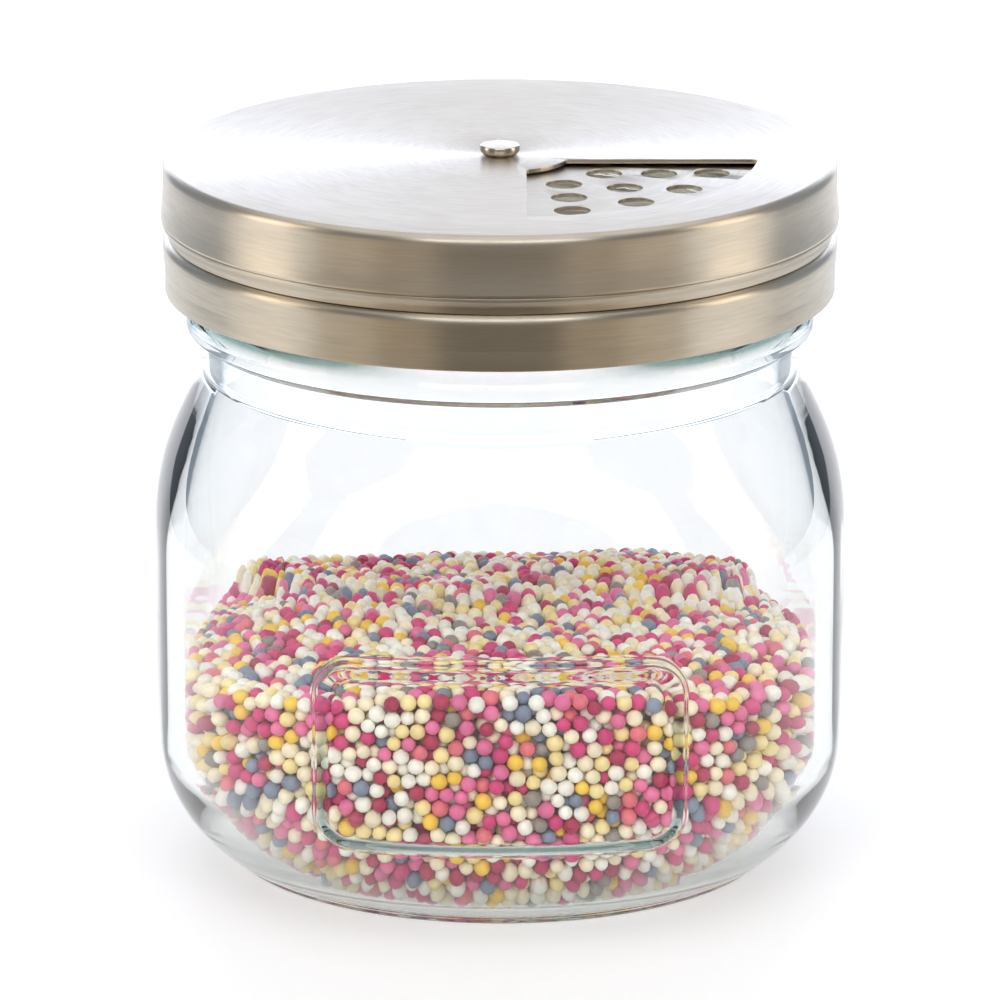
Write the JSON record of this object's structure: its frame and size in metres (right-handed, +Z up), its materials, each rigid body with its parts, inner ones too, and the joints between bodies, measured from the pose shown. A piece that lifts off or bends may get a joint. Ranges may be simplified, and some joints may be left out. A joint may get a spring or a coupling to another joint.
{
  "type": "spice jar",
  "caption": "Soft-square clear glass spice jar with sugar sprinkles and a brushed steel screw cap, whose perforated plate lies under a turning selector cover with a quadrant window.",
  "frame": {"origin": "middle of the foot, on the table", "axes": "+Z up along the lid's axis, the label panel on the front face at -Y, +X to the viewer's right"},
  "size_m": [0.0848, 0.0856, 0.0888],
  "materials": {
    "clear_glass": "clear soda-lime glass, smooth, faint green in thick sections",
    "sugar": "matte sugar balls of mixed pastel colours",
    "brushed_steel": "fine circular brushing, satin",
    "spring_steel": "plain spring steel",
    "seal": "matte pale elastomer"
  },
  "bodies": {
    "jar": {"glass_jar": "clear_glass", "sprinkle_fill": "sugar"},
    "seal": {"lid_gasket": "seal"},
    "cap": {"screw_cap": "brushed_steel", "centre_rivet": "brushed_steel", "spring_washer": "spring_steel"},
    "cover": {"selector_cover": "brushed_steel"}
  },
  "joints": [
    {"name": "lid_rise", "type": "slide", "parent": "jar", "child": "seal", "axis": [0, 0, 1], "range_m": [0, 0.0063]},
    {"name": "lid_unscrew", "type": "hinge", "parent": "seal", "child": "cap", "pos_m": [0, 0, 0.078], "axis": [0, 0, 1], "range_deg": [0, 450]},
    {"name": "cover_turn", "type": "hinge", "parent": "cap", "child": "cover", "pos_m": [0, 0, 0.087], "axis": [0, 0, 1], "continuous": true}
  ],
  "couplings": [
    {"joint": "lid_rise", "follows": "lid_unscrew", "m_per_rad": 0.00079577}
  ]
}
